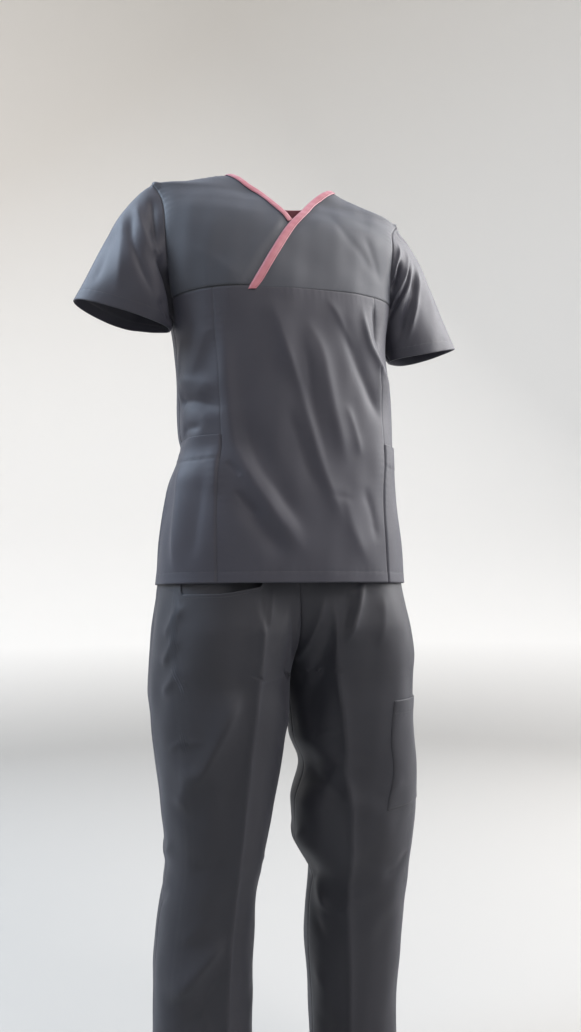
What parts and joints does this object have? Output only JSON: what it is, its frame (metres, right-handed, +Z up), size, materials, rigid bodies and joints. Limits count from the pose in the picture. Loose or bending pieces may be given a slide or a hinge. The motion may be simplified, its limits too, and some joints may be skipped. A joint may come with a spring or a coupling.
{
  "type": "medical scrubs",
  "caption": "Worn, empty medical scrubs: a short-sleeved top with a lapped V neck and side pockets, over long straight trousers with hip pockets and a thigh pocket.",
  "frame": {"origin": "between the shoulders, level with the neck ends of the shoulder seams, where the wearer's shoulders carry the top", "axes": "+Z up, -Y is the front of the garment, +X is the wearer's left"},
  "size_m": [0.714, 0.27, 1.5026],
  "materials": {
    "top_cloth": "matt charcoal twill",
    "trouser_cloth": "matt charcoal twill",
    "binding": "matt dusty rose"
  },
  "bodies": {
    "root": {"back_panel": "top_cloth", "cargo_pocket_left": "trouser_cloth", "front_panel": "top_cloth", "hip_pocket_left": "trouser_cloth", "hip_pocket_right": "trouser_cloth", "leg_back_left": "trouser_cloth", "leg_back_right": "trouser_cloth", "leg_front_left": "trouser_cloth", "leg_front_right": "trouser_cloth", "neck_band_back": "binding", "neck_band_left": "binding", "neck_band_right": "binding", "side_front_left": "top_cloth", "side_front_right": "top_cloth", "side_pocket_left": "top_cloth", "side_pocket_right": "top_cloth", "sleeve_left": "top_cloth", "sleeve_right": "top_cloth", "waistband": "trouser_cloth", "yoke_front_left": "top_cloth", "yoke_front_right": "top_cloth"}
  },
  "joints": []
}
